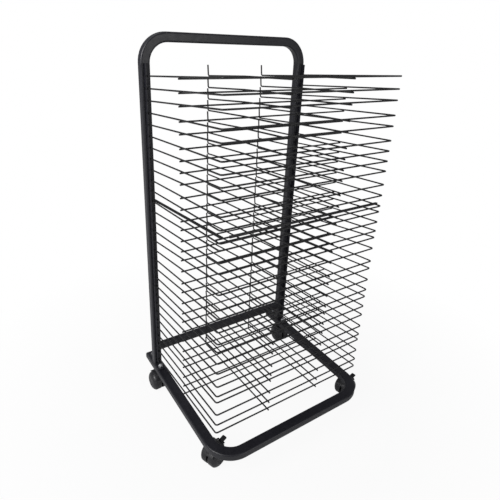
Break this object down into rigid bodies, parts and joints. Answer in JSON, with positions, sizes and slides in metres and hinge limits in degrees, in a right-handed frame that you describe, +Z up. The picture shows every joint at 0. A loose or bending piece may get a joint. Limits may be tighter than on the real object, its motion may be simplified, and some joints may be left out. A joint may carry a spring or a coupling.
{
  "type": "art drying rack",
  "caption": "Free-standing wire drying rack on castors: a stack of hinged wire shelves on a bent tube back frame and a U-shaped base, for drying sheets of art work.",
  "frame": {"origin": "on the floor, midway between the middles of the two posts", "axes": "+Z up, -Y towards the front where the shelves reach out, +X to the right seen from the front"},
  "size_m": [0.5904, 0.499, 1.094],
  "materials": {
    "coated_tube": "semi-gloss black powder coat on steel tube",
    "coated_wire": "semi-gloss black coating on steel wire",
    "grip": "matt black plastic sleeve",
    "zinc_steel": "bright zinc-plated steel",
    "black_nylon": "moulded black nylon",
    "wheel_nylon": "moulded black nylon wheel"
  },
  "bodies": {
    "frame": {"back_frame": "coated_tube", "crossbar": "coated_tube", "hinge_strip_left": "coated_tube", "hinge_strip_right": "coated_tube", "base_frame": "coated_tube", "foot_plates": "coated_tube", "frame_bolts": "zinc_steel", "frame_nuts": "zinc_steel", "castor_nuts": "zinc_steel", "base_end_caps": "black_nylon", "castor_front_left_stem": "zinc_steel", "castor_front_right_stem": "zinc_steel", "castor_rear_left_stem": "zinc_steel", "castor_rear_right_stem": "zinc_steel"},
    "shelf_01": {"shelf_01": "coated_wire"},
    "shelf_02": {"shelf_02": "coated_wire"},
    "shelf_03": {"shelf_03": "coated_wire"},
    "shelf_04": {"shelf_04": "coated_wire"},
    "shelf_05": {"shelf_05": "coated_wire"},
    "shelf_06": {"shelf_06": "coated_wire"},
    "shelf_07": {"shelf_07": "coated_wire"},
    "shelf_08": {"shelf_08": "coated_wire"},
    "shelf_09": {"shelf_09": "coated_wire"},
    "shelf_10": {"shelf_10": "coated_wire"},
    "shelf_11": {"shelf_11": "coated_wire"},
    "shelf_12": {"shelf_12": "coated_wire", "grip_tube": "grip", "brace_rod": "coated_wire"},
    "shelf_13": {"shelf_13": "coated_wire"},
    "shelf_14": {"shelf_14": "coated_wire"},
    "shelf_15": {"shelf_15": "coated_wire"},
    "shelf_16": {"shelf_16": "coated_wire"},
    "shelf_17": {"shelf_17": "coated_wire"},
    "shelf_18": {"shelf_18": "coated_wire"},
    "shelf_19": {"shelf_19": "coated_wire"},
    "shelf_20": {"shelf_20": "coated_wire"},
    "shelf_21": {"shelf_21": "coated_wire"},
    "shelf_22": {"shelf_22": "coated_wire"},
    "shelf_23": {"shelf_23": "coated_wire"},
    "shelf_24": {"shelf_24": "coated_wire"},
    "shelf_25": {"shelf_25": "coated_wire"},
    "shelf_26": {"shelf_26": "coated_wire"},
    "shelf_27": {"shelf_27": "coated_wire"},
    "shelf_28": {"shelf_28": "coated_wire"},
    "shelf_29": {"shelf_29": "coated_wire"},
    "shelf_30": {"shelf_30": "coated_wire"},
    "castor_front_left": {"castor_front_left_hood": "black_nylon", "castor_front_left_axle": "zinc_steel"},
    "castor_front_left_wheels": {"castor_front_left_wheels": "wheel_nylon"},
    "castor_front_left_pedal": {"castor_front_left_pedal": "black_nylon"},
    "castor_front_right": {"castor_front_right_hood": "black_nylon", "castor_front_right_axle": "zinc_steel"},
    "castor_front_right_wheels": {"castor_front_right_wheels": "wheel_nylon"},
    "castor_front_right_pedal": {"castor_front_right_pedal": "black_nylon"},
    "castor_rear_left": {"castor_rear_left_hood": "black_nylon", "castor_rear_left_axle": "zinc_steel"},
    "castor_rear_left_wheels": {"castor_rear_left_wheels": "wheel_nylon"},
    "castor_rear_right": {"castor_rear_right_hood": "black_nylon", "castor_rear_right_axle": "zinc_steel"},
    "castor_rear_right_wheels": {"castor_rear_right_wheels": "wheel_nylon"}
  },
  "joints": [
    {"name": "shelf_01_lift", "type": "hinge", "parent": "frame", "child": "shelf_01", "pos_m": [0, -0.019, 0.9894], "axis": [-1, 0, 0], "range_deg": [0, 55.5]},
    {"name": "shelf_02_lift", "type": "hinge", "parent": "frame", "child": "shelf_02", "pos_m": [0, -0.019, 0.9594], "axis": [-1, 0, 0], "range_deg": [0, 55.5]},
    {"name": "shelf_03_lift", "type": "hinge", "parent": "frame", "child": "shelf_03", "pos_m": [0, -0.019, 0.9294], "axis": [-1, 0, 0], "range_deg": [0, 55]},
    {"name": "shelf_04_lift", "type": "hinge", "parent": "frame", "child": "shelf_04", "pos_m": [0, -0.019, 0.8994], "axis": [-1, 0, 0], "range_deg": [0, 56]},
    {"name": "shelf_05_lift", "type": "hinge", "parent": "frame", "child": "shelf_05", "pos_m": [0, -0.019, 0.8694], "axis": [-1, 0, 0], "range_deg": [0, 55.5]},
    {"name": "shelf_06_lift", "type": "hinge", "parent": "frame", "child": "shelf_06", "pos_m": [0, -0.019, 0.8394], "axis": [-1, 0, 0], "range_deg": [0, 56.5]},
    {"name": "shelf_07_lift", "type": "hinge", "parent": "frame", "child": "shelf_07", "pos_m": [0, -0.019, 0.8094], "axis": [-1, 0, 0], "range_deg": [0, 56]},
    {"name": "shelf_08_lift", "type": "hinge", "parent": "frame", "child": "shelf_08", "pos_m": [0, -0.019, 0.7794], "axis": [-1, 0, 0], "range_deg": [0, 55.5]},
    {"name": "shelf_09_lift", "type": "hinge", "parent": "frame", "child": "shelf_09", "pos_m": [0, -0.019, 0.7494], "axis": [-1, 0, 0], "range_deg": [0, 55]},
    {"name": "shelf_10_lift", "type": "hinge", "parent": "frame", "child": "shelf_10", "pos_m": [0, -0.019, 0.7194], "axis": [-1, 0, 0], "range_deg": [0, 56]},
    {"name": "shelf_11_lift", "type": "hinge", "parent": "frame", "child": "shelf_11", "pos_m": [0, -0.019, 0.6894], "axis": [-1, 0, 0], "range_deg": [0, 56]},
    {"name": "shelf_12_lift", "type": "hinge", "parent": "frame", "child": "shelf_12", "pos_m": [0, -0.019, 0.6594], "axis": [-1, 0, 0], "range_deg": [0, 56]},
    {"name": "shelf_13_lift", "type": "hinge", "parent": "frame", "child": "shelf_13", "pos_m": [0, -0.019, 0.6294], "axis": [-1, 0, 0], "range_deg": [0, 54]},
    {"name": "shelf_14_lift", "type": "hinge", "parent": "frame", "child": "shelf_14", "pos_m": [0, -0.019, 0.5994], "axis": [-1, 0, 0], "range_deg": [0, 54]},
    {"name": "shelf_15_lift", "type": "hinge", "parent": "frame", "child": "shelf_15", "pos_m": [0, -0.019, 0.5694], "axis": [-1, 0, 0], "range_deg": [0, 53.5]},
    {"name": "shelf_16_lift", "type": "hinge", "parent": "frame", "child": "shelf_16", "pos_m": [0, -0.019, 0.5394], "axis": [-1, 0, 0], "range_deg": [0, 52]},
    {"name": "shelf_17_lift", "type": "hinge", "parent": "frame", "child": "shelf_17", "pos_m": [0, -0.019, 0.5094], "axis": [-1, 0, 0], "range_deg": [0, 52.5]},
    {"name": "shelf_18_lift", "type": "hinge", "parent": "frame", "child": "shelf_18", "pos_m": [0, -0.019, 0.4794], "axis": [-1, 0, 0], "range_deg": [0, 54]},
    {"name": "shelf_19_lift", "type": "hinge", "parent": "frame", "child": "shelf_19", "pos_m": [0, -0.019, 0.4494], "axis": [-1, 0, 0], "range_deg": [0, 53]},
    {"name": "shelf_20_lift", "type": "hinge", "parent": "frame", "child": "shelf_20", "pos_m": [0, -0.019, 0.4194], "axis": [-1, 0, 0], "range_deg": [0, 54]},
    {"name": "shelf_21_lift", "type": "hinge", "parent": "frame", "child": "shelf_21", "pos_m": [0, -0.019, 0.3894], "axis": [-1, 0, 0], "range_deg": [0, 54.5]},
    {"name": "shelf_22_lift", "type": "hinge", "parent": "frame", "child": "shelf_22", "pos_m": [0, -0.019, 0.3594], "axis": [-1, 0, 0], "range_deg": [0, 53.5]},
    {"name": "shelf_23_lift", "type": "hinge", "parent": "frame", "child": "shelf_23", "pos_m": [0, -0.019, 0.3294], "axis": [-1, 0, 0], "range_deg": [0, 54]},
    {"name": "shelf_24_lift", "type": "hinge", "parent": "frame", "child": "shelf_24", "pos_m": [0, -0.019, 0.2994], "axis": [-1, 0, 0], "range_deg": [0, 54]},
    {"name": "shelf_25_lift", "type": "hinge", "parent": "frame", "child": "shelf_25", "pos_m": [0, -0.019, 0.2694], "axis": [-1, 0, 0], "range_deg": [0, 55.5]},
    {"name": "shelf_26_lift", "type": "hinge", "parent": "frame", "child": "shelf_26", "pos_m": [0, -0.019, 0.2394], "axis": [-1, 0, 0], "range_deg": [0, 55.5]},
    {"name": "shelf_27_lift", "type": "hinge", "parent": "frame", "child": "shelf_27", "pos_m": [0, -0.019, 0.2094], "axis": [-1, 0, 0], "range_deg": [0, 54]},
    {"name": "shelf_28_lift", "type": "hinge", "parent": "frame", "child": "shelf_28", "pos_m": [0, -0.019, 0.1794], "axis": [-1, 0, 0], "range_deg": [0, 55.5]},
    {"name": "shelf_29_lift", "type": "hinge", "parent": "frame", "child": "shelf_29", "pos_m": [0, -0.019, 0.1494], "axis": [-1, 0, 0], "range_deg": [0, 56]},
    {"name": "shelf_30_lift", "type": "hinge", "parent": "frame", "child": "shelf_30", "pos_m": [0, -0.019, 0.1194], "axis": [-1, 0, 0], "range_deg": [0, 41.5]},
    {"name": "castor_front_left_swivel", "type": "hinge", "parent": "frame", "child": "castor_front_left", "pos_m": [-0.2485, -0.36, 0.07], "axis": [0, 0, 1], "continuous": true},
    {"name": "castor_front_left_roll", "type": "hinge", "parent": "castor_front_left", "child": "castor_front_left_wheels", "pos_m": [-0.23195, -0.3543, 0.03], "axis": [0.3256, -0.9455, 0], "continuous": true},
    {"name": "castor_front_left_brake", "type": "hinge", "parent": "castor_front_left", "child": "castor_front_left_pedal", "pos_m": [-0.20413, -0.34472, 0.04985], "axis": [-0.3256, 0.9455, 0], "range_deg": [0, 25]},
    {"name": "castor_front_right_swivel", "type": "hinge", "parent": "frame", "child": "castor_front_right", "pos_m": [0.2485, -0.36, 0.07], "axis": [0, 0, 1], "continuous": true},
    {"name": "castor_front_right_roll", "type": "hinge", "parent": "castor_front_right", "child": "castor_front_right_wheels", "pos_m": [0.26573, -0.35696, 0.03], "axis": [0.1736, -0.9848, 0], "continuous": true},
    {"name": "castor_front_right_brake", "type": "hinge", "parent": "castor_front_right", "child": "castor_front_right_pedal", "pos_m": [0.29472, -0.35185, 0.04985], "axis": [-0.1736, 0.9848, 0], "range_deg": [0, 25]},
    {"name": "castor_rear_left_swivel", "type": "hinge", "parent": "frame", "child": "castor_rear_left", "pos_m": [-0.2485, -0.03, 0.07], "axis": [0, 0, 1], "continuous": true},
    {"name": "castor_rear_left_roll", "type": "hinge", "parent": "castor_rear_left", "child": "castor_rear_left_wheels", "pos_m": [-0.24942, -0.01252, 0.03], "axis": [0.9986, 0.0523, 0], "continuous": true},
    {"name": "castor_rear_right_swivel", "type": "hinge", "parent": "frame", "child": "castor_rear_right", "pos_m": [0.2485, -0.03, 0.07], "axis": [0, 0, 1], "continuous": true},
    {"name": "castor_rear_right_roll", "type": "hinge", "parent": "castor_rear_right", "child": "castor_rear_right_wheels", "pos_m": [0.25154, -0.01277, 0.03], "axis": [0.9848, -0.1736, 0], "continuous": true}
  ],
  "couplings": [
    {"joint": "shelf_02_lift", "follows": "shelf_01_lift", "ratio": 1},
    {"joint": "shelf_03_lift", "follows": "shelf_01_lift", "ratio": 0.99099},
    {"joint": "shelf_04_lift", "follows": "shelf_01_lift", "ratio": 1.009},
    {"joint": "shelf_05_lift", "follows": "shelf_01_lift", "ratio": 1},
    {"joint": "shelf_06_lift", "follows": "shelf_01_lift", "ratio": 1.018},
    {"joint": "shelf_07_lift", "follows": "shelf_01_lift", "ratio": 1.009},
    {"joint": "shelf_08_lift", "follows": "shelf_01_lift", "ratio": 1},
    {"joint": "shelf_09_lift", "follows": "shelf_01_lift", "ratio": 0.99099},
    {"joint": "shelf_10_lift", "follows": "shelf_01_lift", "ratio": 1.009},
    {"joint": "shelf_11_lift", "follows": "shelf_01_lift", "ratio": 1.009},
    {"joint": "shelf_12_lift", "follows": "shelf_01_lift", "ratio": 1.009},
    {"joint": "shelf_13_lift", "follows": "shelf_01_lift", "ratio": 0.97297},
    {"joint": "shelf_14_lift", "follows": "shelf_01_lift", "ratio": 0.97297},
    {"joint": "shelf_15_lift", "follows": "shelf_01_lift", "ratio": 0.96396},
    {"joint": "shelf_16_lift", "follows": "shelf_01_lift", "ratio": 0.93694},
    {"joint": "shelf_17_lift", "follows": "shelf_01_lift", "ratio": 0.94595},
    {"joint": "shelf_18_lift", "follows": "shelf_01_lift", "ratio": 0.97297},
    {"joint": "shelf_19_lift", "follows": "shelf_01_lift", "ratio": 0.95495},
    {"joint": "shelf_20_lift", "follows": "shelf_01_lift", "ratio": 0.97297},
    {"joint": "shelf_21_lift", "follows": "shelf_01_lift", "ratio": 0.98198},
    {"joint": "shelf_22_lift", "follows": "shelf_01_lift", "ratio": 0.96396},
    {"joint": "shelf_23_lift", "follows": "shelf_01_lift", "ratio": 0.97297},
    {"joint": "shelf_24_lift", "follows": "shelf_01_lift", "ratio": 0.97297},
    {"joint": "shelf_25_lift", "follows": "shelf_01_lift", "ratio": 1},
    {"joint": "shelf_26_lift", "follows": "shelf_01_lift", "ratio": 1},
    {"joint": "shelf_27_lift", "follows": "shelf_01_lift", "ratio": 0.97297},
    {"joint": "shelf_28_lift", "follows": "shelf_01_lift", "ratio": 1},
    {"joint": "shelf_29_lift", "follows": "shelf_01_lift", "ratio": 1.009},
    {"joint": "shelf_30_lift", "follows": "shelf_01_lift", "ratio": 0.74775}
  ]
}
